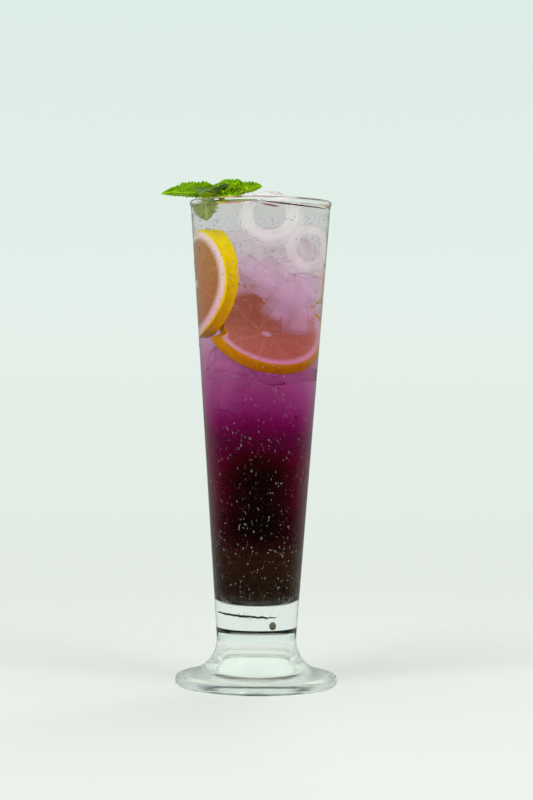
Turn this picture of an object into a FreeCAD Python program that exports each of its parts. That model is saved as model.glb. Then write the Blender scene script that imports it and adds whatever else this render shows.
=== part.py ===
"""A footed pilsner glass of layered mojito, with tube ice, two lemon slices and a sprig of mint.

Millimetres, +Z up. The origin is on the glass axis, in the plane that the foot stands on.
-Y is the front, and +X is to the right of someone who looks at the front.
"""

import FreeCAD, Part
import math
import os

Vector = FreeCAD.Vector
UP = Vector(0, 0, 1)

# Glass: height, radii and wall
glass_height = 209.5
rim_radius = 30.4
stem_radius = 16.4
stem_foot_height = 8.8
wall_at_rim = 2.0
wall_at_floor = 2.7
floor_height = 35.3
floor_corner_radius = 10.0

# Glass: the bead round the rim
bead_height = 2.1
bead_bulge = 0.35
bead_neck_rise = 0.5
bead_top_radius = 0.95

# Glass: the foot and the hollow under it
foot_radius = 35.0
foot_edge_height = 4.1
foot_edge_rounding = 1.7
foot_flare_radius = 14.5
standing_ring_width = 2.6
standing_ring_step = 1.1
hollow_mouth_radius = 16.5
hollow_mouth_height = 4.2
hollow_mouth_rounding = 7.0
hollow_top_radius = 13.8
hollow_top_height = 25.0
hollow_top_rounding = 2.5

# Drink
level_below_rim = 2.7

# Tube ice: the piece that stands out of the drink, with its axis from front to back
ice_outer_radius = 12.0
ice_hole_radius = 6.7
ice_length = 17.0
ice_edge_rounding = 1.2
ice_right_of_axis = 3.7
ice_centre_below_level = 4.6
ice_wall_clearance = 0.6

# Lemon: both slices come from fruit that is a little narrower than the glass
lemon_room = 3.0
slice_gap = 0.4

# Lemon: the slice that stands at the left wall and bends along it
standing_slice_height = 174.0
standing_slice_thickness = 7.6
standing_slice_bend_radius = 28.0
standing_slice_turn = -5.0
standing_slice_clearance = 1.8

# Lemon: the slice that leans back across the glass
lying_slice_height = 150.6
lying_slice_thickness = 5.0
lying_slice_turn = 26.0
lying_slice_lean = 50.0
lying_slice_forward = 4.1
lying_slice_clearance = 2.0

# Mint: the crown that the leaves grow from, and the stem down into the drink
crown_inside_wall = 11.0
crown_turn = 214.0
crown_below_ice_top = 1.7
crown_radius = 1.7
stem_thickness = 2.0
stem_length = 17.0
stem_lean = 30.0
stem_lean_turn = 190.0

# Mint: what all leaves share
leaf_thickness = 0.7
leaf_stations = 8
leaf_root_gap = 0.2
leaf_end_width = 0.8
leaf_fold = 0.2

# Mint: turn from +X towards +Y, climb and roll in degrees, then length, width and droop of the tip
leaves = {
    "mint_leaf_left": (180, 12, 24, 27.0, 11.0, 5.5),
    "mint_leaf_front": (246, 32, 0, 15.0, 10.5, 9.0),
    "mint_leaf_right": (8, 17, -30, 16.5, 9.5, 0.8),
    "mint_leaf_top": (262, 58, 8, 6.5, 8.0, 0.5),
    "mint_leaf_back": (95, 30, 0, 12.0, 9.0, 2.0),
}


def rounded_outline(corners):
    """A closed face from (radius, height, rounding) corners, each rounded by a tangent arc."""
    places = [Vector(radius, 0, height) for radius, height, rounding in corners]
    stretches = []
    for i, here in enumerate(places):
        rounding = corners[i][2]
        if rounding == 0:
            stretches.append([here])
            continue
        back = (places[i - 1] - here).normalize()
        onward = (places[(i + 1) % len(places)] - here).normalize()
        half_angle = back.getAngle(onward) / 2
        reach = rounding / math.tan(half_angle)
        inward = (back + onward).normalize()
        centre = here + inward * (rounding / math.sin(half_angle))
        stretches.append([here + back * reach, centre - inward * rounding, here + onward * reach])
    edges = []
    for i, points in enumerate(stretches):
        if len(points) == 3:
            edges.append(Part.Arc(*points).toShape())
        following = stretches[(i + 1) % len(stretches)]
        edges.append(Part.LineSegment(points[-1], following[0]).toShape())
    return Part.Face(Part.Wire(edges))


def turned(corners):
    """The solid that a rounded outline sweeps in one turn about the glass axis."""
    return rounded_outline(corners).revolve(Vector(0, 0, 0), UP, 360)


def compass(turn):
    """The level unit vector that is turned from +X towards +Y by an angle in degrees."""
    angle = math.radians(turn)
    return Vector(math.cos(angle), math.sin(angle), 0)


def outer_radius(height):
    """Outer radius of the straight glass wall at a height."""
    slope = (rim_radius - stem_radius) / (glass_height - stem_foot_height)
    return stem_radius + slope * (height - stem_foot_height)


def inner_radius(height):
    """Inner radius of the straight glass wall at a height."""
    at_floor = outer_radius(floor_height) - wall_at_floor
    at_rim = rim_radius - wall_at_rim
    return at_floor + (at_rim - at_floor) * (height - floor_height) / (glass_height - floor_height)


def drink_level():
    """Height of the drink's surface."""
    return glass_height - level_below_rim


def make_glass():
    """Hollow foot, standing ring, flare, straight wall, beaded rim and inside, in one outline."""
    ring_inner = foot_radius - foot_edge_rounding - standing_ring_width
    bead_radius = rim_radius + bead_bulge
    bead_foot = glass_height - bead_height
    neck = bead_foot - bead_neck_rise
    return turned([
        (0, hollow_top_height, 0),
        (hollow_top_radius, hollow_top_height, hollow_top_rounding),
        (hollow_mouth_radius, hollow_mouth_height, hollow_mouth_rounding),
        (ring_inner - standing_ring_step, standing_ring_step, 0),
        (ring_inner, 0, 0),
        (foot_radius, 0, foot_edge_rounding),
        (foot_radius, foot_edge_height, foot_edge_rounding),
        (stem_radius, stem_foot_height, foot_flare_radius),
        (outer_radius(neck), neck, 0),
        (bead_radius, bead_foot, 0),
        (bead_radius, glass_height, bead_top_radius),
        (rim_radius - wall_at_rim, glass_height, bead_top_radius),
        (inner_radius(floor_height), floor_height, floor_corner_radius),
        (0, floor_height, 0),
    ])


def make_drink(pieces):
    """The drink up to its level, cut round the pieces that stand or lie in it."""
    drink = turned([
        (0, floor_height, 0),
        (inner_radius(floor_height), floor_height, floor_corner_radius),
        (inner_radius(drink_level()), drink_level(), 0),
        (0, drink_level(), 0),
    ])
    for piece in pieces:
        drink = drink.cut(piece)
    return drink


def ice_front():
    """How far forward the ice tube reaches before its front end meets the wall."""
    centre_height = drink_level() - ice_centre_below_level
    reaches = []
    for turn in range(0, 360, 5):
        side = ice_right_of_axis + ice_outer_radius * math.cos(math.radians(turn))
        height = centre_height + ice_outer_radius * math.sin(math.radians(turn))
        if height < glass_height:
            reaches.append(math.sqrt((inner_radius(height) - ice_wall_clearance) ** 2 - side ** 2))
    return min(reaches)


def make_ice_tube():
    """A round-edged tube of ice that points to the front."""
    start = Vector(ice_right_of_axis, -ice_front(), drink_level() - ice_centre_below_level)
    to_back = Vector(0, 1, 0)
    body = Part.makeCylinder(ice_outer_radius, ice_length, start, to_back)
    ends = [edge for edge in body.Edges if edge.Closed]
    hole = Part.makeCylinder(ice_hole_radius, ice_length, start, to_back)
    return body.makeFillet(ice_edge_rounding, ends).cut(hole)


def standing_slab(inner_face, outer_face, grow):
    """What lies between two bend radii, inside the standing slice's outline grown a little."""
    radius = inner_radius(standing_slice_height) - lemon_room
    bend = standing_slice_bend_radius
    inward = compass(standing_slice_turn)
    half_width = bend * math.sin(radius / bend)
    outer_bend = bend + standing_slice_thickness / 2
    limit = inner_radius(standing_slice_height) - standing_slice_clearance
    bend_axis = math.sqrt(outer_bend ** 2 - half_width ** 2) - math.sqrt(limit ** 2 - half_width ** 2)
    foot = inward * bend_axis + UP * (standing_slice_height - 2 * radius)
    core = Part.makeCylinder(inner_face, 4 * radius, foot)
    slab = Part.makeCylinder(outer_face, 4 * radius, foot).cut(core)
    outline = Part.Ellipse(Vector(0, 0, 0), radius + grow, half_width + grow)
    outline.Axis = -inward
    outline.XAxis = UP
    outline.Center = inward * bend_axis + UP * standing_slice_height
    return slab.common(Part.Face(Part.Wire(outline.toShape())).extrude(-inward * 2 * outer_face))


def make_standing_slice():
    """The slice at the left wall."""
    half = standing_slice_thickness / 2
    return standing_slab(standing_slice_bend_radius - half, standing_slice_bend_radius + half, 0)


def make_lying_slice():
    """A flat slice that leans back and is squeezed against the standing one."""
    lean = math.radians(lying_slice_lean)
    forward = -compass(90 + lying_slice_turn)
    facing = forward * math.cos(lean) + UP * math.sin(lean)
    farthest = lying_slice_forward + lying_slice_thickness / 2 * math.cos(lean)
    limit = inner_radius(lying_slice_height) - lying_slice_clearance
    radius = math.sqrt(limit ** 2 - farthest ** 2)
    centre = forward * lying_slice_forward + UP * lying_slice_height
    start = centre - facing * (lying_slice_thickness / 2)
    disc = Part.makeCylinder(radius, lying_slice_thickness, start, facing)
    inner_face = standing_slice_bend_radius - standing_slice_thickness / 2 - slice_gap
    past_the_wall = inner_face + 2 * rim_radius
    return disc.cut(standing_slab(inner_face, past_the_wall, slice_gap))


def mint_crown():
    """Where the leaves meet the stem: left of the ice tube, with the leaves just above the rim and the ice."""
    off_axis = inner_radius(drink_level()) - crown_inside_wall
    ice_top = drink_level() - ice_centre_below_level + ice_outer_radius
    return compass(crown_turn) * off_axis + UP * (ice_top - crown_below_ice_top)


def make_mint_stem():
    """The stem with the knob that carries the leaves."""
    lean = math.radians(stem_lean)
    downward = compass(stem_lean_turn) * math.sin(lean) - UP * math.cos(lean)
    stem = Part.makeCylinder(stem_thickness / 2, stem_length, mint_crown(), downward)
    return stem.fuse(Part.makeSphere(crown_radius, mint_crown()))


def make_leaf(turn, climb, roll, length, width, droop):
    """A leaf folded along its midrib: a four-cornered section lofted from root to tip."""
    level_way = compass(turn)
    way = level_way * math.cos(math.radians(climb)) + UP * math.sin(math.radians(climb))
    level_side = UP.cross(level_way)
    side = level_side * math.cos(math.radians(roll)) + UP * math.sin(math.radians(roll))
    normal = way.cross(side).normalize()
    root = mint_crown() + way * (crown_radius + leaf_root_gap)
    sections = []
    for station in range(leaf_stations):
        share = station / (leaf_stations - 1)
        middle = root + way * (length * share) - UP * (droop * share ** 2)
        half = (leaf_end_width + (width - leaf_end_width) * math.sin(math.pi * share ** 0.85)) / 2
        lift = normal * (half * leaf_fold)
        corners = [
            middle + side * half + lift,
            middle + normal * (leaf_thickness / 2),
            middle - side * half + lift,
            middle - normal * (leaf_thickness / 2),
        ]
        sections.append(Part.makePolygon(corners + corners[:1]))
    return Part.makeLoft(sections, True, True)


def main():
    """Builds every piece and writes one file for each."""
    ice_tube = make_ice_tube()
    standing_slice = make_standing_slice()
    lying_slice = make_lying_slice()
    mint_stem = make_mint_stem()
    nodes = {
        "glass": make_glass(),
        "drink": make_drink([ice_tube, standing_slice, lying_slice, mint_stem]),
        "ice_tube": ice_tube,
        "lemon_slice_standing": standing_slice,
        "lemon_slice_lying": lying_slice,
        "mint_stem": mint_stem,
    }
    for name, sizes in leaves.items():
        nodes[name] = make_leaf(*sizes)
    os.makedirs("parts", exist_ok=True)
    for name, shape in nodes.items():
        shape.exportStep("parts/" + name + ".step")


main()
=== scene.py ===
"""The looks of the glass of layered mojito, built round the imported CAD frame."""
import math
import random

import bpy
from mathutils import Matrix, Vector, noise


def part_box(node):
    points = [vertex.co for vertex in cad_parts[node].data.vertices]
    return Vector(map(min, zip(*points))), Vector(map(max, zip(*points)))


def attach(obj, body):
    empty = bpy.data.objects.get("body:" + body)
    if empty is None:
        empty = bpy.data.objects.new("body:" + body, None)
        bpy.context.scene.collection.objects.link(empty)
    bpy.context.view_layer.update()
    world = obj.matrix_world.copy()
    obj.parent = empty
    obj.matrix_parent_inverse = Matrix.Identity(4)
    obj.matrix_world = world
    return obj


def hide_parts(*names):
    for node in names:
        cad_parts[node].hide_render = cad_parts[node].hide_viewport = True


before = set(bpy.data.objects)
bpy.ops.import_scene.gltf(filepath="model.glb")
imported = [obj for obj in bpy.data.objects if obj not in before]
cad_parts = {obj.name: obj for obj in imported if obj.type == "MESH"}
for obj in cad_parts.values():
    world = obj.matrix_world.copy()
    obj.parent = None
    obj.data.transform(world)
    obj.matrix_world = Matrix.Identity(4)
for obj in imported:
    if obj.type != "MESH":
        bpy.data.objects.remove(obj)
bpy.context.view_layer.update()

MM = 0.001
TAU = 2 * math.pi
scene = bpy.context.scene

# --- Sizes in millimetres, as the CAD has them --------------------------------------------
GLASS_HEIGHT = 209.5
RIM_RADIUS = 30.4
STEM_RADIUS = 16.4
STEM_FOOT_HEIGHT = 8.8
WALL_AT_RIM = 2.0
WALL_AT_FLOOR = 2.7
FLOOR_HEIGHT = 35.3
FLOOR_CORNER = 10.0
FOOT_RADIUS = 35.0
LEVEL = GLASS_HEIGHT - 2.7

# How far the drink reaches into the wall, and how far what floats in it stays off the wall.
INTO_WALL = 0.15
OFF_WALL = 0.15


def outer_radius(z):
    """Outer radius of the straight wall at a height."""
    slope = (RIM_RADIUS - STEM_RADIUS) / (GLASS_HEIGHT - STEM_FOOT_HEIGHT)
    return STEM_RADIUS + slope * (z - STEM_FOOT_HEIGHT)


def inner_radius(z):
    """Inner radius of the straight wall at a height."""
    at_floor = outer_radius(FLOOR_HEIGHT) - WALL_AT_FLOOR
    at_rim = RIM_RADIUS - WALL_AT_RIM
    return at_floor + (at_rim - at_floor) * (z - FLOOR_HEIGHT) / (GLASS_HEIGHT - FLOOR_HEIGHT)


def kept_inside(point):
    """The point, moved towards the axis if it would enter the wall."""
    off_axis = math.hypot(point.x, point.y)
    room = inner_radius(point.z) - OFF_WALL
    if off_axis <= room or point.z > LEVEL:
        return point
    return Vector((point.x * room / off_axis, point.y * room / off_axis, point.z))


def pointing(turn, rise=0):
    """A unit vector from its turn about the upright and its rise, both in degrees."""
    level = math.cos(math.radians(rise))
    return Vector((math.cos(math.radians(turn)) * level, math.sin(math.radians(turn)) * level,
                   math.sin(math.radians(rise))))


# --- Mesh helpers ------------------------------------------------------------------------

def add_mesh(name, points, faces, material, slot, sharp_angle=None):
    """A mesh object from points in millimetres that rides with the glass."""
    mesh = bpy.data.meshes.new(name)
    mesh.from_pydata([Vector(p) * MM for p in points], [], faces)
    mesh.validate()
    mesh.shade_smooth()
    if sharp_angle:
        mesh.set_sharp_from_angle(angle=sharp_angle)
    piece = bpy.data.objects.new(name, mesh)
    scene.collection.objects.link(piece)
    mesh.materials.append(material)
    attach(piece, "root")
    return piece


def strip_faces(rows, columns, closed=True):
    """Quads between rows of points; closed joins the last column to the first."""
    faces = []
    for r in range(rows - 1):
        for c in range(columns if closed else columns - 1):
            d = (c + 1) % columns
            a = r * columns
            b = a + columns
            faces.append((a + c, a + d, b + d, b + c))
    return faces


def rounded_outline(corners, arc_steps=8):
    """Points (radius, height) along corners (radius, height, rounding), with round ones as arcs."""
    out = []
    last = len(corners) - 1
    for i, (r, z, rounding) in enumerate(corners):
        here = Vector((r, z))
        if rounding == 0 or i in (0, last):
            out.append(here)
            continue
        back = (Vector(corners[i - 1][:2]) - here).normalized()
        onward = (Vector(corners[i + 1][:2]) - here).normalized()
        half = back.angle(onward) / 2
        inward = (back + onward).normalized()
        centre = here + inward * rounding / math.sin(half)
        first = here + back * rounding / math.tan(half) - centre
        final = here + onward * rounding / math.tan(half) - centre
        sweep = first.angle_signed(final)
        for step in range(arc_steps + 1):
            turn = -sweep * step / arc_steps
            out.append(centre + Matrix.Rotation(turn, 2) @ first)
    return out


def divided(outline, longest):
    """The outline with long stretches cut into steps no longer than asked."""
    out = [outline[0]]
    for a, b in zip(outline, outline[1:]):
        steps = max(1, math.ceil((b - a).length / longest))
        out += [a.lerp(b, s / steps) for s in range(1, steps + 1)]
    return out


def lathe(name, outline, turns, material, slot, sharp_angle=None):
    """A closed piece of revolution from an outline that starts and ends on the axis."""
    rings = [p for p in outline if p.x > 1e-6]
    points = []
    for p in rings:
        for t in range(turns):
            a = TAU * t / turns
            points.append((p.x * math.cos(a), p.x * math.sin(a), p.y))
    faces = strip_faces(len(rings), turns)
    first = len(points)
    points += [(0, 0, outline[0].y), (0, 0, outline[-1].y)]
    base = (len(rings) - 1) * turns
    for t in range(turns):
        u = (t + 1) % turns
        faces.append((first, u, t))
        faces.append((first + 1, base + t, base + u))
    return add_mesh(name, points, faces, material, slot, sharp_angle)


def joined(parts):
    """Points and faces of several (points, faces) parts as one."""
    points, faces = [], []
    for some_points, some_faces in parts:
        start = len(points)
        points += some_points
        faces += [tuple(start + i for i in face) for face in some_faces]
    return points, faces


# --- Material helpers --------------------------------------------------------------------

def srgb(r, g, b):
    """A linear colour from 0 to 255 display values."""
    def linear(v):
        v = v / 255
        return v / 12.92 if v <= 0.04045 else ((v + 0.055) / 1.055) ** 2.4
    return (linear(r), linear(g), linear(b), 1.0)


class Nodes:
    """A short way to write node trees."""

    def __init__(self, tree):
        self.tree = tree
        tree.nodes.clear()

    def add(self, kind, values=(), **settings):
        node = self.tree.nodes.new("ShaderNode" + kind)
        for key, value in settings.items():
            setattr(node, key, value)
        for key, value in dict(values).items():
            if isinstance(value, bpy.types.NodeSocket):
                self.tree.links.new(value, node.inputs[key])
            else:
                node.inputs[key].default_value = value
        return node

    def math(self, operation, a, b=0.0, clamp=False):
        return self.add("Math", {0: a, 1: b}, operation=operation, use_clamp=clamp).outputs[0]

    def mix(self, factor, a, b):
        node = self.add("Mix", {0: factor}, data_type="RGBA")
        for key, value in ((6, a), (7, b)):
            if isinstance(value, bpy.types.NodeSocket):
                self.tree.links.new(value, node.inputs[key])
            else:
                node.inputs[key].default_value = value
        return node.outputs[2]

    def step(self, value, start, end):
        """Rises from 0 at start to 1 at end; start may be the larger."""
        return self.add("MapRange", {0: value, 1: start, 2: end}).outputs[0]

    def smooth_step(self, value, start, end):
        values = {0: value, 1: start, 2: end}
        return self.add("MapRange", values, interpolation_type="SMOOTHSTEP").outputs[0]

    def ramp(self, factor, stops):
        node = self.add("ValToRGB", {0: factor})
        ramp = node.color_ramp
        while len(ramp.elements) < len(stops):
            ramp.elements.new(0.5)
        for element, (place, colour) in zip(ramp.elements, stops):
            element.position = place
            element.color = colour
        return node.outputs[0]

    def place(self):
        return self.add("TexCoord").outputs["Object"]

    def noise(self, scale, detail, roughness, place):
        values = {"Scale": scale, "Detail": detail, "Roughness": roughness, "Vector": place}
        return self.add("TexNoise", values).outputs[0]

    def bump(self, strength, distance, height):
        values = {"Strength": strength, "Distance": distance, "Height": height}
        return self.add("Bump", values).outputs[0]

    def output(self, surface, volume=None):
        node = self.add("OutputMaterial")
        self.tree.links.new(surface, node.inputs[0])
        if volume is not None:
            self.tree.links.new(volume, node.inputs[1])


def new_material(name):
    material = bpy.data.materials.new(name)
    material.use_nodes = True
    return material, Nodes(material.node_tree)


def lit_through(nodes, shader, tint):
    """Lets lamps shine through a clear material, tinted, so that what is inside and behind is lit."""
    clear = nodes.add("BsdfTransparent", {"Color": tint})
    shadow = nodes.add("LightPath").outputs["Is Shadow Ray"]
    return nodes.add("MixShader", {0: shadow, 1: shader.outputs[0], 2: clear.outputs[0]}).outputs[0]


# --- Materials ---------------------------------------------------------------------------

WHITE = (1, 1, 1, 1)
BLACK = (0, 0, 0, 1)
SEGMENTS = 9

# The layers wander up and down by this many mm in all. No depth stop is above the strongest,
# and the middle of the dark core absorbs this many times its layer's share on top of it.
LAYER_WANDER = 8.0
STRONGEST_DEPTH = 120.0
CORE_EXTRA = 7.0

# Where a slice's core ends and its pith and peel begin, as shares of its radius.
CORE_EDGE = (0.10, 0.06)
PITH_EDGE = (0.79, 0.89)
PEEL_EDGE = (0.955, 0.975)


def glass_material(name, tint):
    """Clear glass with faint waves.

    A black tint takes away the reflections that a wetted wall doesn't have.
    """
    material, nodes = new_material(name)
    place = nodes.place()
    waves = nodes.noise(60.0, 1.5, 0.5, place)
    bump = nodes.bump(0.10, 0.0002, waves)
    shader = nodes.add("BsdfPrincipled", {
        "Base Color": (0.985, 0.990, 0.975, 1), "Roughness": 0.0, "IOR": 1.5,
        "Transmission Weight": 1.0, "Specular Tint": tint, "Normal": bump,
    })
    nodes.output(lit_through(nodes, shader, (0.97, 0.97, 0.97, 1)))
    return material


def frosted_material():
    """The pressed underside of the foot, dull enough not to mirror the drink."""
    material, nodes = new_material("frosted_glass")
    place = nodes.place()
    grain = nodes.noise(500.0, 3.0, 0.6, place)
    bump = nodes.bump(0.25, 0.0002, grain)
    shader = nodes.add("BsdfPrincipled", {
        "Base Color": (0.90, 0.91, 0.85, 1), "Roughness": 0.16, "IOR": 1.5,
        "Transmission Weight": 0.86, "Normal": bump,
    })
    nodes.output(lit_through(nodes, shader, (0.8, 0.8, 0.8, 1)))
    return material


def by_height(nodes, stops):
    """A colour that changes with height, from (height in mm, colour) stops, with uneven layers."""
    place = nodes.place()
    height = nodes.add("SeparateXYZ", {0: place}).outputs[2]
    drift = nodes.math("SUBTRACT", nodes.noise(45.0, 3.0, 0.55, place), 0.5)
    height = nodes.math("ADD", height, nodes.math("MULTIPLY", drift, LAYER_WANDER * MM))
    low, high = stops[0][0], stops[-1][0]
    share = nodes.step(height, low * MM, high * MM)
    return nodes.ramp(share, [((z - low) / (high - low), colour) for z, colour in stops])


def drink_material():
    """The layered drink: nearly black at the bottom, then magenta, violet and a pale top.

    The skin holds part of the colour and the depth the rest, so that what floats near the wall
    stays clear. Each depth stop says how strongly red, green and blue are absorbed, per metre.
    """
    material, nodes = new_material("drink")
    skin = by_height(nodes, [
        (35, (0.045, 0.036, 0.028, 1)),
        (58, (0.07, 0.032, 0.026, 1)),
        (80, (0.16, 0.010, 0.055, 1)),
        (97, (0.22, 0.014, 0.10, 1)),
        (111, (0.38, 0.05, 0.23, 1)),
        (122, (0.56, 0.16, 0.42, 1)),
        (136, (0.75, 0.34, 0.60, 1)),
        (152, (0.82, 0.58, 0.74, 1)),
        (178, (0.93, 0.82, 0.89, 1)),
        (200, (0.97, 0.96, 0.97, 1)),
    ])
    shader = nodes.add("BsdfPrincipled", {
        "Base Color": skin, "Roughness": 0.0, "IOR": 1.333, "Transmission Weight": 1.0,
        "Specular Tint": BLACK,
    })
    depth_stops = [
        (35, (30, 42, 60)),
        (58, (26, 44, 55)),
        (80, (17, 64, 30)),
        (97, (20, 94, 42)),
        (106, (35, 104, 52)),
        (112, (24, 106, 38)),
        (119, (18, 58, 28)),
        (136, (14, 35, 21)),
        (152, (9, 18, 12)),
        (168, (7, 12, 9)),
        (190, (4, 7.5, 5.5)),
        (207, (4, 5, 4.5)),
    ]
    colours = [(z, tuple(1 - v / STRONGEST_DEPTH for v in rgb) + (1.0,)) for z, rgb in depth_stops]
    depth = by_height(nodes, colours)
    place = nodes.place()
    upright = nodes.add("VectorMath", {0: place, 1: (1, 1, 0)}, operation="MULTIPLY").outputs[0]
    off_axis = nodes.add("VectorMath", {0: upright}, operation="LENGTH").outputs["Value"]
    core = nodes.smooth_step(off_axis, 0.017, 0.003)
    height = nodes.add("SeparateXYZ", {0: place}).outputs[2]
    below = nodes.smooth_step(height, 0.106, 0.088)
    above = nodes.smooth_step(height, 0.056, 0.072)
    core = nodes.math("MULTIPLY", core, nodes.math("MULTIPLY", below, above))
    extra = nodes.math("MULTIPLY", core, CORE_EXTRA * STRONGEST_DEPTH)
    density = nodes.math("ADD", extra, STRONGEST_DEPTH)
    volume = nodes.add("VolumeAbsorption", {"Color": depth, "Density": density})
    nodes.output(lit_through(nodes, shader, skin), volume.outputs[0])
    return material


def ice_material(name, clearness, tint=(1, 1, 1)):
    """Wet tube ice with soft cloudy patches."""
    material, nodes = new_material(name)
    place = nodes.place()
    cloud = nodes.noise(120.0, 3.0, 0.5, place)
    bump = nodes.bump(0.15, 0.0006, cloud)
    colour = nodes.ramp(cloud, [(0.35, tuple(0.93 * c for c in tint) + (1,)), (0.7, tint + (1,))])
    shader = nodes.add("BsdfPrincipled", {
        "Base Color": colour, "Roughness": 0.05, "IOR": 1.04, "Transmission Weight": clearness,
        "Normal": bump,
    })
    nodes.output(lit_through(nodes, shader, (0.97, 0.97, 0.97, 1)))
    return material


def lemon_material(name, flesh_dark, flesh_light, peel_dark, peel_light):
    """Peel, pith and flesh in segments, placed by the disc coordinates kept in the UV map."""
    material, nodes = new_material(name)
    uv = nodes.add("UVMap", uv_map="disc").outputs[0]
    split = nodes.add("SeparateXYZ", {0: uv})
    x, y = (nodes.math("SUBTRACT", nodes.math("MULTIPLY", part, 2.0), 1.0) for part in split.outputs[:2])
    squares = nodes.math("ADD", nodes.math("MULTIPLY", x, x), nodes.math("MULTIPLY", y, y))
    radius = nodes.math("SQRT", squares)
    turn = nodes.math("ARCTAN2", y, x)
    wedge = nodes.math("FRACT", nodes.math("MULTIPLY", turn, SEGMENTS / TAU))
    nearest = nodes.math("MINIMUM", wedge, nodes.math("SUBTRACT", 1.0, wedge))
    membrane = nodes.step(nodes.math("MULTIPLY", nearest, radius), 0.012, 0.05)
    place = nodes.place()
    streaks = nodes.noise(700.0, 3.0, 0.6, place)
    flesh = nodes.ramp(streaks, [(0.3, flesh_dark), (0.7, flesh_light)])
    flesh = nodes.mix(membrane, flesh_light, flesh)
    pith = nodes.math("MAXIMUM", nodes.step(radius, *PITH_EDGE), nodes.step(radius, *CORE_EDGE))
    colour = nodes.mix(pith, flesh, srgb(240, 222, 214))
    peel = nodes.ramp(nodes.noise(300.0, 2.0, 0.5, place), [(0.3, peel_dark), (0.7, peel_light)])
    colour = nodes.mix(nodes.step(radius, *PEEL_EDGE), colour, peel)
    pores = nodes.add("TexVoronoi", {"Scale": 900.0, "Vector": place}).outputs[0]
    bump = nodes.bump(0.3, 0.0002, pores)
    shader = nodes.add("BsdfPrincipled", {
        "Base Color": colour, "Roughness": 0.35, "Subsurface Weight": 0.25, "Specular IOR Level": 0.05,
        "Subsurface Radius": (0.004, 0.002, 0.0008), "Normal": bump,
    })
    nodes.output(shader.outputs[0])
    return material


def mint_material(name, dark, light):
    """A leaf with a mottled blade and paler veins, whose strength the mesh keeps in an attribute."""
    material, nodes = new_material(name)
    place = nodes.place()
    mottle = nodes.noise(420.0, 4.0, 0.6, place)
    blade = nodes.ramp(mottle, [(0.3, dark), (0.72, light)])
    vein = nodes.add("Attribute", attribute_name="vein").outputs["Fac"]
    pale = tuple(min(1.0, c * 1.4 + 0.01) for c in light[:3]) + (1.0,)
    colour = nodes.mix(vein, blade, pale)
    bump = nodes.bump(0.4, 0.0002, mottle)
    shader = nodes.add("BsdfPrincipled", {
        "Base Color": colour, "Roughness": 0.42, "Subsurface Weight": 0.12, "Specular IOR Level": 0.15,
        "Subsurface Radius": (0.001, 0.002, 0.0004), "Normal": bump,
    })
    nodes.output(shader.outputs[0])
    return material


def line_material(name, colour):
    """An opaque thin line in the wall, painted reflection and painted shade of the colours that the glass
    gathers round it.
    """
    material, nodes = new_material(name)
    grain = nodes.noise(400.0, 2.0, 0.5, nodes.place())
    shade = nodes.ramp(grain, [(0.3, tuple(0.6 * c for c in colour[:3]) + (1.0,)), (0.7, colour)])
    values = {"Base Color": shade, "Roughness": 0.3, "Specular IOR Level": 0.1}
    shader = nodes.add("BsdfPrincipled", values)
    nodes.output(shader.outputs[0])
    return material


def water_material():
    """Clear water for the beads."""
    material, nodes = new_material("water")
    shader = nodes.add("BsdfPrincipled", {
        "Base Color": WHITE, "Roughness": 0.0, "IOR": 1.33, "Transmission Weight": 1.0,
        "Specular Tint": (0.15, 0.15, 0.15, 1),
    })
    nodes.output(lit_through(nodes, shader, WHITE))
    return material


CLEAR_GLASS = glass_material("clear_glass", WHITE)
WET_GLASS = glass_material("wet_glass", BLACK)
FROSTED_GLASS = frosted_material()
DRINK = drink_material()
ICE = ice_material("ice", 0.97)
ICE_FROST = ice_material("ice_frost", 0.72)
ICE_CLOUDY = ice_material("ice_cloudy", 0.84, (0.90, 0.82, 0.89))
LEMON_STANDING = lemon_material("lemon_standing", srgb(164, 120, 66), srgb(186, 138, 84),
                                srgb(240, 210, 0), srgb(250, 232, 0))
LEMON_LYING = lemon_material("lemon_lying", srgb(190, 138, 96), srgb(214, 162, 118),
                             srgb(210, 174, 0), srgb(226, 194, 0))
MINT_BRIGHT = mint_material("mint_bright", srgb(104, 166, 0), srgb(162, 216, 6))
# A darker copy of the same mint in painted shade, for the front and back leaves that hang in shade.
MINT_PAINTED_SHADE = mint_material("mint_painted_shade", srgb(72, 106, 46), srgb(122, 156, 72))
MINT_OLIVE = mint_material("mint_olive", srgb(120, 134, 62), srgb(158, 168, 100))
MINT_STEM = mint_material("mint_stem_skin", srgb(96, 118, 40), srgb(134, 150, 66))
WATER = water_material()
# An opaque drop in painted shade, standing in for a clear bead that shows dark.
DROP_PAINTED_SHADE = line_material("drop_painted_shade", srgb(104, 100, 84))


# --- Glass and drink ---------------------------------------------------------------------

FOOT_ROUNDING = 1.7
RING_WIDTH = 2.6
RIM_SWELL = 0.3

# The dull underside of the foot ends this high and this far from the foot's edge.
UNDERSIDE_HEIGHT = 4.3
FOOT_EDGE = 1.9

# How far the drink is drawn up the wall, and how fast that falls off.
DRAWN_UP = 0.7
DRAWN_WIDTH = 1.3


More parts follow.
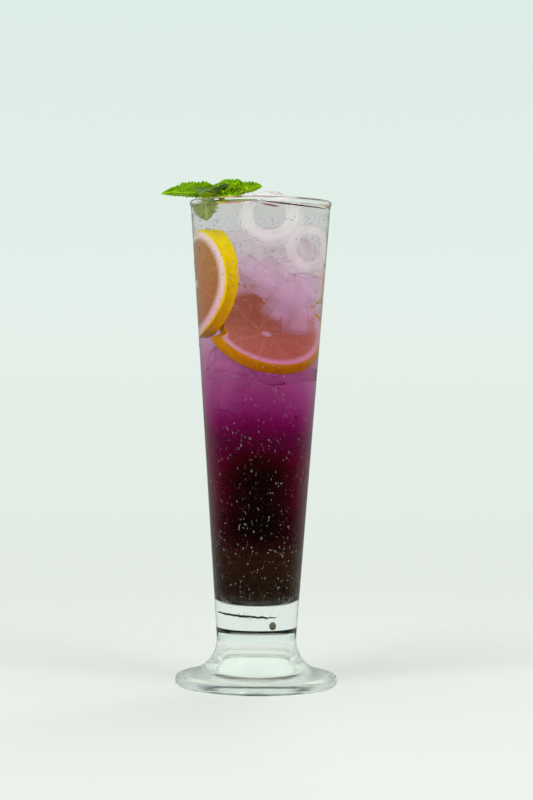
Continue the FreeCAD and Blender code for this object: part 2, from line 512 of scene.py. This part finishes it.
def make_glass():
    """The CAD glass again, as one smooth turned piece."""
    ring = FOOT_RADIUS - FOOT_ROUNDING - RING_WIDTH
    outline = rounded_outline([
        (0, 25.0, 0),
        (13.8, 25.0, 2.5),
        (16.5, 4.2, 7.0),
        (ring - 1.1, 1.1, 0.6),
        (ring, 0, 0.3),
        (FOOT_RADIUS, 0, FOOT_ROUNDING),
        (FOOT_RADIUS, 4.1, FOOT_ROUNDING),
        (STEM_RADIUS, STEM_FOOT_HEIGHT, 14.5),
        (outer_radius(GLASS_HEIGHT - 2.1), GLASS_HEIGHT - 2.1, 0.5),
        (RIM_RADIUS + RIM_SWELL, GLASS_HEIGHT - 1.6, 0.3),
        (RIM_RADIUS + RIM_SWELL, GLASS_HEIGHT, 0.9),
        (RIM_RADIUS - WALL_AT_RIM, GLASS_HEIGHT, 0.95),
        (inner_radius(FLOOR_HEIGHT), FLOOR_HEIGHT, FLOOR_CORNER),
        (0, FLOOR_HEIGHT, 0),
    ], 10)
    piece = lathe("glass_turned", divided(outline, 4.0), 160, CLEAR_GLASS, "clear_glass")
    piece.data.materials.append(WET_GLASS)
    piece.data.materials.append(FROSTED_GLASS)
    for face in piece.data.polygons:
        spot = face.center / MM
        off_axis = math.hypot(spot.x, spot.y)
        if FLOOR_HEIGHT - 0.1 < spot.z < LEVEL and off_axis < inner_radius(spot.z) + 0.3:
            face.material_index = 1
        if spot.z < UNDERSIDE_HEIGHT and off_axis < FOOT_RADIUS - FOOT_EDGE:
            face.material_index = 2
    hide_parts("glass")


def make_drink():
    """The drink, just into the wall, with its surface drawn up where it meets the glass."""
    outline = rounded_outline([
        (0, FLOOR_HEIGHT - INTO_WALL, 0),
        (inner_radius(FLOOR_HEIGHT) + INTO_WALL, FLOOR_HEIGHT - INTO_WALL, FLOOR_CORNER),
        (inner_radius(LEVEL) + INTO_WALL, LEVEL + DRAWN_UP, 0),
    ], 10)
    rim = outline[-1].x
    steps = 24
    for step in range(1, steps + 1):
        r = rim * (1 - (step / steps) ** 0.8)
        outline.append(Vector((r, LEVEL + DRAWN_UP * math.exp(-(rim - r) / DRAWN_WIDTH))))
    outline[-1].x = 0
    piece = lathe("drink_filled", divided(outline, 3.0), 160, DRINK, "drink", math.radians(40))
    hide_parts("drink")


def wall_line(name, first, last, height, inset, width, material, slot):
    """A thin closed line along the wall; height gives its height for a turn in degrees."""
    steps = 60
    points = []
    for i in range(steps + 1):
        turn = first + (last - first) * i / steps
        out = pointing(turn)
        z = height(turn) + 0.35 * noise.noise(Vector((turn * 0.16, 3, first)))
        taper = math.sin(math.pi * i / steps) ** 0.4
        half = width * taper * (0.55 + 0.5 * abs(noise.noise(Vector((turn * 0.3, 9, first)))))
        for radius, up in ((-0.22, 0), (0, half), (0.12, 0), (0, -half)):
            points.append(out * (inner_radius(z) - inset + radius) + Vector((0, 0, z + up)))
    faces = strip_faces(steps + 1, 4)
    faces += [(3, 2, 1, 0), tuple(steps * 4 + i for i in range(4))]
    add_mesh(name, points, faces, material, slot)


def drink_edge(turn):
    """Height of the drink's edge on the wall, drawn up at the front and lower at the right."""
    return LEVEL + 0.1 + 1.1 * math.exp(-((turn - 267) / 11) ** 2) - 0.9 * max(0, min(1, (turn - 280) / 35))


def base_painted_reflection_height(turn):
    """Height of the wavy painted reflection of the dark drink in the thick base, which falls to the right.
    """
    return 32.2 - (turn - 196) * 0.014


def make_lines():
    """Painted lines: the drink's edge inside the wall in painted shade and painted reflection, and a wavy
    painted reflection of the dark drink in the thick base.
    """
    # Painted reflection of the lemon, where the drink's edge mirrors it.
    gold = line_material("edge_gold", srgb(222, 150, 40))
    # Painted shade, the dark line along the drink's edge.
    dark = line_material("edge_dark", srgb(52, 22, 34))
    # Painted reflection, a magenta line just under the drink's edge.
    mark = line_material("edge_painted_reflection", srgb(150, 66, 104))
    # Painted reflection of the dark drink in the thick base.
    base = line_material("base_painted_reflection", srgb(62, 66, 56))
    wall_line("drink_edge_gold", 234, 256, drink_edge, 0.35, 0.34, gold, "drink")
    wall_line("drink_edge_dark", 254, 346, drink_edge, 0.35, 0.42, dark, "drink")
    wall_line("drink_edge_painted_reflection", 271, 286, lambda turn: drink_edge(turn) - 1.5, 0.35, 0.55, mark, "drink")
    wall_line("base_painted_reflection", 196, 300, base_painted_reflection_height, -1.6, 0.8, base, "clear_glass")


# --- Ice ---------------------------------------------------------------------------------

# How deep the frost at a tube's ends is in mm, and how flat melting made the part above the drink.
FROST_DEPTH = 1.4
MELT_SQUASH = 0.75
FRONT_TUBE_HOLE = 6.7


def frost_ends(piece, places, tubes):
    """Gives the ends of each tube in a piece the frosty ice."""
    piece.data.materials.append(ICE_FROST)
    first = 0
    for (centre, turn, rise, length, *_), (_, faces) in zip(places, tubes):
        axis = pointing(turn, rise)
        for face in piece.data.polygons[first:first + len(faces)]:
            along = (face.center / MM - Vector(centre)).dot(axis)
            if abs(along) > length / 2 - FROST_DEPTH and abs(face.normal.dot(axis)) > 0.5:
                face.material_index = 1
        first += len(faces)


def ice_tube_mesh(centre, turn, rise, length, outer, hole, seed):
    """Points and faces of one tube of half-melted ice, as a ring of sections round its wall."""
    around, along = 56, 14
    axis = pointing(turn, rise)
    across = axis.cross(Vector((0, 0, 1)) if abs(axis.z) < 0.9 else Vector((0, 1, 0))).normalized()
    third = axis.cross(across)
    round_end = min(2.2, (outer - hole) * 0.42)
    corners = [(hole, -length / 2, 0), (outer, -length / 2, round_end), (outer, length / 2, round_end),
               (hole, length / 2, 0)]
    wall = divided(rounded_outline(corners, 4), length / along)
    wall += [wall[-1].lerp(wall[0], s / along) for s in range(1, along)]
    points = []
    for p in wall:
        for t in range(around):
            a = TAU * t / around
            spot = axis * p.y + (across * math.cos(a) + third * math.sin(a)) * p.x
            melt = noise.noise(spot * 0.13 + Vector((seed * 7.3, 0, 0))) * 0.7
            melt += noise.noise(spot * 0.45 + Vector((0, seed * 3.1, 0))) * 0.22
            outward = (across * math.cos(a) + third * math.sin(a)) * (1 if p.x > (outer + hole) / 2 else -1)
            points.append(kept_inside(Vector(centre) + spot + outward * melt))
    faces = strip_faces(len(wall), around)
    last = (len(wall) - 1) * around
    for t in range(around):
        u = (t + 1) % around
        faces.append((last + t, last + u, u, t))
    return points, faces


def make_ice():
    """The tube that stands out of the drink, and the sunk ones below it."""
    low, high = (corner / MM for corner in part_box("ice_tube"))
    middle = (low + high) / 2
    place = (middle, 90, 0, high.y - low.y, (high.z - low.z) / 2, FRONT_TUBE_HOLE)
    points, faces = ice_tube_mesh(*place, 1)
    for point in points:
        if point.z > LEVEL:
            point.z = LEVEL + (point.z - LEVEL) * MELT_SQUASH
    piece = add_mesh("ice_tube_front", points, faces, ICE, "ice")
    frost_ends(piece, [place], [(points, faces)])
    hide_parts("ice_tube")
    sunk = [
        # centre, turn and rise of the axis, length, outer and hole radius
        ((12.5, -2.0, 188.5), -52, 4, 20, 10.8, 5.8),
        ((2.0, 13.0, 190.0), 12, 10, 26, 9.0, 4.5),
        ((3.5, 12.0, 170.0), -20, 30, 24, 10.0, 5.0),
        ((8.0, 8.0, 140.0), 60, 10, 18, 8.6, 4.0),
    ]
    tubes = [ice_tube_mesh(*place, seed) for seed, place in enumerate(sunk, 2)]
    frost_ends(add_mesh("ice_sunk", *joined(tubes), ICE, "ice"), sunk, tubes)
    # The same values for the cloudy ones.
    cloudy = [
        ((6.3, -8.0, 172.0), 0, -50, 25, 7.4, 3.6),
        ((15.5, -9.5, 165.0), 70, 80, 25, 6.8, 3.2),
        ((9.0, -11.0, 166.0), 20, 62, 17, 5.6, 1.8),
        ((-1.5, -12.5, 176.5), 0, -35, 17, 6.2, 2.6),
        ((-10.8, -9.0, 137.5), 150, 22, 17, 8.0, 3.4),
        ((-12.0, -11.0, 127.5), 40, 78, 17, 7.0, 2.4),
    ]
    tubes = [ice_tube_mesh(*place, seed) for seed, place in enumerate(cloudy, 12)]
    add_mesh("ice_cloudy", *joined(tubes), ICE_CLOUDY, "ice")


# --- Lemon -------------------------------------------------------------------------------

def slice_disc(radius, thickness, place, seed):
    """Points, faces and disc coordinates of a slice; place maps (across, up, out) to the frame."""
    turns, rings, rim_steps = 132, 26, 7
    profile = [(i / rings, 0.5) for i in range(rings + 1)]
    for i in range(1, rim_steps):
        a = math.pi * i / rim_steps
        profile.append((1 + 0.012 * math.sin(a), 0.5 * math.cos(a)))
    profile += [(i / rings, -0.5) for i in range(rings, -1, -1)]
    points, discs = [], []
    for share, side in profile:
        for t in range(turns):
            a = TAU * t / turns
            wedge = (a * SEGMENTS / TAU) % 1
            swell = min(1, min(wedge, 1 - wedge) * share * 14)
            in_flesh = max(0, min(1, (0.84 - share) / 0.03)) * max(0, min(1, (share - 0.08) / 0.04))
            relief = 0.14 * swell * in_flesh * (1 if side > 0 else -1 if side < 0 else 0)
            uneven = 1 + 0.012 * noise.noise(Vector((math.cos(a), math.sin(a), seed * 5.0)) * 1.6)
            r = radius * share * uneven
            spot = Vector((r * math.cos(a), r * math.sin(a), side * thickness + relief))
            spot.z += 0.16 * noise.noise(spot * 0.9 + Vector((0, 0, seed)))
            points.append(kept_inside(place(spot)))
            reach = 0.5 * min(share, 1)
            discs.append((0.5 + reach * math.cos(a), 0.5 + reach * math.sin(a)))
    return points, strip_faces(len(profile), turns), discs


def add_slice(name, node, radius, thickness, place, material, seed):
    """A lemon slice that replaces its CAD node."""
    points, faces, discs = slice_disc(radius, thickness, place, seed)
    piece = add_mesh(name, points, faces, material, "lemon", math.radians(50))
    layer = piece.data.uv_layers.new(name="disc")
    for loop in piece.data.loops:
        layer.data[loop.index].uv = discs[loop.vertex_index]
    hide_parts(node)


STAND_MIDDLE = Vector((-18.6, 1.7, 174.0))
STAND_INWARD = pointing(-5)
STAND_BEND = 26.1
STAND_LEAN = math.tan(math.radians(4))
STAND_RADIUS = 23.2
STAND_THICKNESS = 7.8


def standing_place(spot):
    """Bends the slice about an upright axis, so that it follows the wall."""
    aside = Vector((-STAND_INWARD.y, STAND_INWARD.x, 0))
    turn = spot.x / STAND_BEND
    out = STAND_BEND + spot.z
    axis = STAND_MIDDLE + STAND_INWARD * STAND_BEND
    bent = axis - STAND_INWARD * out * math.cos(turn) + aside * out * math.sin(turn)
    return bent + STAND_INWARD * spot.y * STAND_LEAN + Vector((0, 0, spot.y))


LIE_MIDDLE = Vector((1.8, -3.7, 150.5))
LIE_TURN = math.radians(-26.4)
LIE_LEAN = math.radians(50.7)
LIE_CUP = 0.026
LIE_RADIUS = 21.8
LIE_THICKNESS = 4.7


def lying_place(spot):
    """Leans the slice back, cups its far half, and squeezes it against the standing slice."""
    facing = Vector((-math.sin(LIE_TURN) * math.cos(LIE_LEAN), -math.cos(LIE_TURN) * math.cos(LIE_LEAN),
                     math.sin(LIE_LEAN)))
    across = Vector((math.cos(LIE_TURN), -math.sin(LIE_TURN), 0))
    up = facing.cross(across)
    up = up if up.z > 0 else -up
    cup = LIE_CUP * max(0, spot.y) ** 2
    point = LIE_MIDDLE + across * spot.x + up * spot.y + facing * (spot.z + cup)
    axis = STAND_MIDDLE + STAND_INWARD * STAND_BEND
    flat = Vector((point.x - axis.x, point.y - axis.y, 0))
    room = STAND_BEND - STAND_THICKNESS / 2 - 0.4
    bottom = STAND_MIDDLE.z - STAND_RADIUS - 0.5
    if flat.length > room and point.z > bottom and point.x < -8:
        squeeze = min(1, (point.z - bottom) / 2)
        flat = flat * (1 - squeeze * (1 - room / flat.length))
        point = Vector((axis.x + flat.x, axis.y + flat.y, point.z))
    return point


def make_lemon():
    """Both slices."""
    add_slice("lemon_standing", "lemon_slice_standing", STAND_RADIUS, STAND_THICKNESS, standing_place,
              LEMON_STANDING, 1)
    add_slice("lemon_lying", "lemon_slice_lying", LIE_RADIUS, LIE_THICKNESS, lying_place, LEMON_LYING, 2)


# --- Mint --------------------------------------------------------------------------------

def leaf_mesh(root, turn, climb, roll, length, width, droop, seed, curl=0.0):
    """Points, faces and vein strengths of a quilted, toothed leaf with a fold along its midrib."""
    stations, lanes, thickness = 40, 21, 0.32
    teeth = max(6, round(length / 1.5))
    level_way = pointing(turn)
    way = level_way * math.cos(math.radians(climb)) + Vector((0, 0, math.sin(math.radians(climb))))
    level_side = Vector((0, 0, 1)).cross(level_way)
    side = level_side * math.cos(math.radians(roll)) + Vector((0, 0, math.sin(math.radians(roll))))
    normal = way.cross(side).normalized()
    top, veins = [], []
    for i in range(stations):
        share = i / (stations - 1)
        tooth = 1 - ((share * teeth) % 1)
        half = 0.5 * width * math.sin(math.pi * min(1, share ** 0.82)) ** 0.8 + 0.25 * (1 - share)
        half *= 0.82 + 0.30 * tooth
        middle = Vector(root) + way * (length * share) - Vector((0, 0, droop * share ** 2))
        middle += side * math.sin(share * 2.4 + seed) * 0.05 * width
        for lane in range(lanes):
            v = 2 * lane / (lanes - 1) - 1
            along = share * length - abs(v) * half * 0.75
            phase = along / 2.1
            ridge = abs(math.sin(math.pi * phase))
            fade = math.sin(math.pi * min(1, share ** 0.9)) ** 0.5
            lift = 0.58 * ridge ** 0.7 * fade * (0.4 + 0.6 * min(1, abs(v) * 3))
            lift += half * 0.24 * abs(v) ** 1.4 - curl * half * v * v
            lift += 0.8 * noise.noise(Vector((share * 3.6, v * 1.5, seed * 4.7)))
            top.append(kept_inside(middle + side * v * half + normal * lift))
            vein = max(0, 1 - ridge / 0.28) * 0.7 * fade
            vein = max(vein, max(0, 1 - abs(v) * half / 0.35))
            veins.append(vein)
    count = len(top)
    points = top + [p - normal * thickness for p in top]
    faces = strip_faces(stations, lanes, False)
    faces += [tuple(count + i for i in reversed(face)) for face in strip_faces(stations, lanes, False)]
    edge = list(range(lanes))
    edge += [r * lanes + lanes - 1 for r in range(1, stations)]
    edge += [(stations - 1) * lanes + c for c in range(lanes - 2, -1, -1)]
    edge += [r * lanes for r in range(stations - 2, 0, -1)]
    for a, b in zip(edge, edge[1:] + edge[:1]):
        faces.append((a, a + count, b + count, b))
    return points, faces, veins + veins


def add_leaves(name, leaves, material, *nodes):
    """One piece from leaves, each a tuple of leaf_mesh values."""
    made = [leaf_mesh(*leaf) for leaf in leaves]
    points, faces = joined([leaf[:2] for leaf in made])
    veins = [vein for leaf in made for vein in leaf[2]]
    piece = add_mesh(name, points, faces, material, "mint_leaf", math.radians(60))
    layer = piece.data.attributes.new("vein", "FLOAT", "POINT")
    layer.data.foreach_set("value", veins)
    if nodes:
        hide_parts(*nodes)


def mint_crown():
    """Where the leaves meet the stem, read from the stem's knob."""
    low, high = (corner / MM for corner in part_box("mint_stem"))
    knob = 1.7
    return Vector((high.x - knob, high.y - knob, high.z - knob))


def make_mint():
    """The sprig on the rim, and a leaf of it under the surface."""
    # Each leaf has its root, turn, climb, roll, length, width, droop and seed, and some a curl.
    crown = mint_crown()
    left = crown + Vector((-1.6, 0.2, -1.7))
    front = crown + Vector((-5.0, -2.6, -1.0))
    right = crown + Vector((3.0, 0.4, -0.4))
    add_leaves("mint_left", [(left, 180, 9, 34, 27.0, 10.8, 3.0, 1)], MINT_BRIGHT, "mint_leaf_left")
    add_leaves("mint_front", [(front, 236, 36, 2, 13.0, 15.5, 8.5, 2)], MINT_PAINTED_SHADE, "mint_leaf_front")
    add_leaves("mint_right", [(right, 8, 16, -36, 12.5, 8.0, 0.4, 3)], MINT_BRIGHT, "mint_leaf_right")
    add_leaves("mint_back", [(crown, 95, 30, 0, 12.0, 9.0, 2.0, 4)], MINT_PAINTED_SHADE, "mint_leaf_back")
    heart = []
    for i in range(14):
        turn = 262 + i * 137.5
        start = crown + Vector((1.4 + math.cos(math.radians(turn)), math.sin(math.radians(turn)), 0.4))
        climb = 74 - i * 6
        roll = (i % 3) * 16 - 14
        length, width = 5.2 + i * 0.22, 5.4 + i * 0.25
        heart.append((start, turn, climb, roll, length, width, 0.3, 10 + i, -0.35))
    for turn in (238, 268, 300):
        heart.append((crown + Vector((0, -1.4, -0.4)), turn, 4, 0, 5.5, 6.0, 2.4, turn, -0.2))
    add_leaves("mint_heart", heart, MINT_BRIGHT, "mint_leaf_top")
    under = crown + Vector((-6.0, -2.9, -3.0))
    add_leaves("mint_sunk_leaf", [(under, 212, -80, 0, 9.5, 19.0, 0.2, 5)], MINT_OLIVE)
    make_stem(crown)


STALK_LENGTH = 9.0
STALK_TURN = 190
STALK_LEAN = 30


def make_stem(crown):
    """The square stem down into the drink."""
    down = pointing(STALK_TURN, STALK_LEAN - 90)
    across = down.cross(Vector((0, 1, 0))).normalized()
    third = down.cross(across)
    points, turns, rings = [], 16, 30
    for i in range(rings):
        share = i / (rings - 1)
        swell = 1.0 + 0.5 * math.exp(-((share - 0.03) / 0.05) ** 2)
        end = min(1, (1 - share) * 20, share * 20) ** 0.5 if 0 < share < 1 else 0.05
        for t in range(turns):
            a = TAU * t / turns
            r = (1.0 + 0.09 * math.cos(4 * a)) * swell * max(0.05, end)
            outward = across * math.cos(a) + third * math.sin(a)
            points.append(crown + down * (STALK_LENGTH * share) + outward * r)
    faces = strip_faces(rings, turns)
    faces.append(tuple(range(turns)))
    faces.append(tuple(reversed(range((rings - 1) * turns, rings * turns))))
    piece = add_mesh("mint_stalk", points, faces, MINT_STEM, "mint_stem")
    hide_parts("mint_stem")


# --- Condensation ------------------------------------------------------------------------

# How deep a bead's back is in the wall, and a bead's height as a share of its width.
BEAD_BACK = 0.04
BEAD_FLATNESS = 0.45
BEAD_SPREAD = 0.45
BEADS_FROM = 30
BEADS_TO = 204


def bead(centre, out, width, height, turns, rings):
    """A flat-backed drop that sits on the wall; its back is just inside the glass."""
    up = Vector((0, 0, 1))
    side = up.cross(out).normalized()
    up = out.cross(side)
    points = []
    for r in range(rings + 1):
        a = 0.5 * math.pi * r / (rings + 0.35)
        for t in range(turns):
            b = TAU * t / turns
            points.append(centre + out * (height * math.sin(a) - BEAD_BACK)
                          + (side * math.cos(b) + up * math.sin(b) * 1.1) * width * math.cos(a))
    faces = strip_faces(rings + 1, turns)
    top = len(points)
    points += [centre + out * (height - BEAD_BACK), centre - out * BEAD_BACK]
    for t in range(turns):
        u = (t + 1) % turns
        faces.append((rings * turns + t, rings * turns + u, top))
        faces.append((u, t, top + 1))
    return points, faces


def scatter_beads(name, count, typical, largest, turns, rings, seed):
    """Beads of many sizes all over the outside of the wall, and down onto the stem."""
    draw = random.Random(seed)
    beads = []
    for _ in range(count):
        z = BEADS_FROM + (BEADS_TO - BEADS_FROM) * draw.random() ** 0.8
        a = TAU * draw.random()
        width = min(largest, typical * math.exp(draw.gauss(0, BEAD_SPREAD)))
        out = Vector((math.cos(a), math.sin(a), 0))
        middle = out * outer_radius(z) + Vector((0, 0, z))
        beads.append(bead(middle, out, width, width * BEAD_FLATNESS, turns, rings))
    add_mesh(name, *joined(beads), WATER, "clear_glass")


def make_beads():
    """Fine condensation and larger drops."""
    scatter_beads("condensation_fine", 3800, 0.17, 0.34, 7, 1, 7)
    scatter_beads("condensation_drops", 420, 0.25, 0.52, 9, 3, 8)
    tear_drops = []
    # The turn, height and width of each; the first is drawn opaque, in painted shade.
    for turn, z, width in ((293, 27.3, 1.6), (200, 20.3, 0.7), (262, 30.8, 0.5)):
        out = pointing(turn)
        tear_drops.append(bead(out * outer_radius(z) + Vector((0, 0, z)), out, width, width * 0.7, 18, 6))
    add_mesh("tear_drops", *joined(tear_drops[1:]), WATER, "clear_glass")
    add_mesh("tear_drop_dark", *tear_drops[0], DROP_PAINTED_SHADE, "clear_glass")


# --- Studio ------------------------------------------------------------------------------

def make_floor():
    """A pale table top that fades into the backdrop far out, and isn't mirrored in the glass."""
    material, nodes = new_material("pale_table")
    place = nodes.place()
    away = nodes.add("VectorMath", {0: place}, operation="LENGTH").outputs["Value"]
    fade = nodes.smooth_step(away, 0.10, 0.44)
    path = nodes.add("LightPath").outputs
    mirrored = nodes.math("SUBTRACT", path["Is Glossy Ray"], path["Is Transmission Ray"], True)
    fade = nodes.math("MAXIMUM", fade, mirrored)
    matte = nodes.add("BsdfDiffuse", {"Color": srgb(247, 252, 247)})
    clear = nodes.add("BsdfTransparent")
    nodes.output(nodes.add("MixShader", {0: fade, 1: matte.outputs[0], 2: clear.outputs[0]}).outputs[0])
    turns, rings = 96, [0.02, 0.06, 0.12, 0.2, 0.3, 0.45]
    round_way = [(math.cos(TAU * t / turns), math.sin(TAU * t / turns)) for t in range(turns)]
    points = [(r * x, r * y, 0) for r in rings for x, y in round_way]
    faces = strip_faces(len(rings), turns) + [tuple(range(turns))]
    mesh = bpy.data.meshes.new("table_top")
    mesh.from_pydata(points, [], faces)
    mesh.materials.append(material)
    floor = bpy.data.objects.new("table_top", mesh)
    scene.collection.objects.link(floor)


def make_world():
    """A pale backdrop all round, even white light, and a dim room in front of the glass for reflections."""
    world = bpy.data.worlds.new("studio")
    world.use_nodes = True
    scene.world = world
    nodes = Nodes(world.node_tree)
    way = nodes.add("SeparateXYZ", {0: nodes.add("TexCoord").outputs["Generated"]}).outputs
    backdrop = nodes.ramp(nodes.step(way[2], -0.22, 0.22), [
        (0.0, srgb(234, 241, 235)),
        (0.3, srgb(227, 235, 228)),
        (0.55, srgb(229, 240, 234)),
        (1.0, srgb(219, 236, 230)),
    ])
    path = nodes.add("LightPath").outputs
    seen = nodes.math("MAXIMUM", path["Is Camera Ray"], path["Is Transmission Ray"])
    behind = nodes.smooth_step(way[1], -0.1, 0.8)
    room = nodes.mix(behind, (0.03, 0.03, 0.03, 1), (0.28, 0.30, 0.28, 1))
    light = nodes.mix(path["Is Glossy Ray"], (0.42, 0.42, 0.42, 1), room)
    background = nodes.add("Background", {"Color": nodes.mix(seen, light, backdrop), "Strength": 1.0})
    output = nodes.add("OutputWorld")
    world.node_tree.links.new(background.outputs[0], output.inputs[0])


def add_softbox(name, place, size, power, mirrored):
    """A rectangular lamp aimed at the middle of the glass."""
    lamp = bpy.data.lights.new(name, "AREA")
    lamp.shape = "RECTANGLE"
    lamp.size, lamp.size_y = size
    lamp.energy = power
    softbox = bpy.data.objects.new(name, lamp)
    softbox.location = place
    aim = Vector((0, 0, 0.11)) - Vector(place)
    softbox.rotation_euler = aim.to_track_quat("-Z", "Y").to_euler()
    softbox.visible_glossy = mirrored
    softbox.visible_transmission = mirrored
    scene.collection.objects.link(softbox)


CAMERA_LENS = 91.9
CAMERA_PLACE = (0.00335, -0.886, 0.134)
CAMERA_TILT = 0.675
CAMERA_ROLL = 0.56


def make_camera():
    """A long lens a little above the middle of the glass, tilted down and rolled slightly."""
    lens = bpy.data.cameras.new("camera")
    lens.lens = CAMERA_LENS
    lens.sensor_width = 36.0
    camera = bpy.data.objects.new("camera", lens)
    camera.location = CAMERA_PLACE
    tilt = Matrix.Rotation(math.radians(90 - CAMERA_TILT), 4, "X")
    roll = Matrix.Rotation(math.radians(CAMERA_ROLL), 4, "Z")
    camera.rotation_euler = (tilt @ roll).to_euler()
    scene.collection.objects.link(camera)
    bpy.context.scene.camera = camera


# --- The whole scene ----------------------------------------------------------------------

scene.view_settings.view_transform = "Standard"
scene.cycles.max_bounces = 24
scene.cycles.glossy_bounces = 24
scene.cycles.transmission_bounces = 24
scene.cycles.transparent_max_bounces = 24
scene.cycles.blur_glossy = 0.0
scene.cycles.caustics_reflective = False
scene.cycles.caustics_refractive = True

make_camera()
make_world()
make_floor()
make_glass()
make_drink()
make_lines()
make_ice()
make_lemon()
make_mint()
make_beads()
add_softbox("softbox_left", (-1.0, -1.1, 0.8), (1.0, 1.2), 13, False)
add_softbox("softbox_right", (1.1, -0.9, 0.6), (0.9, 1.2), 10, False)
add_softbox("softbox_back", (0.5, 1.3, 0.9), (1.2, 0.8), 8, False)
add_softbox("softbox_small", (-0.7, -0.5, 1.1), (0.25, 0.25), 0.35, True)
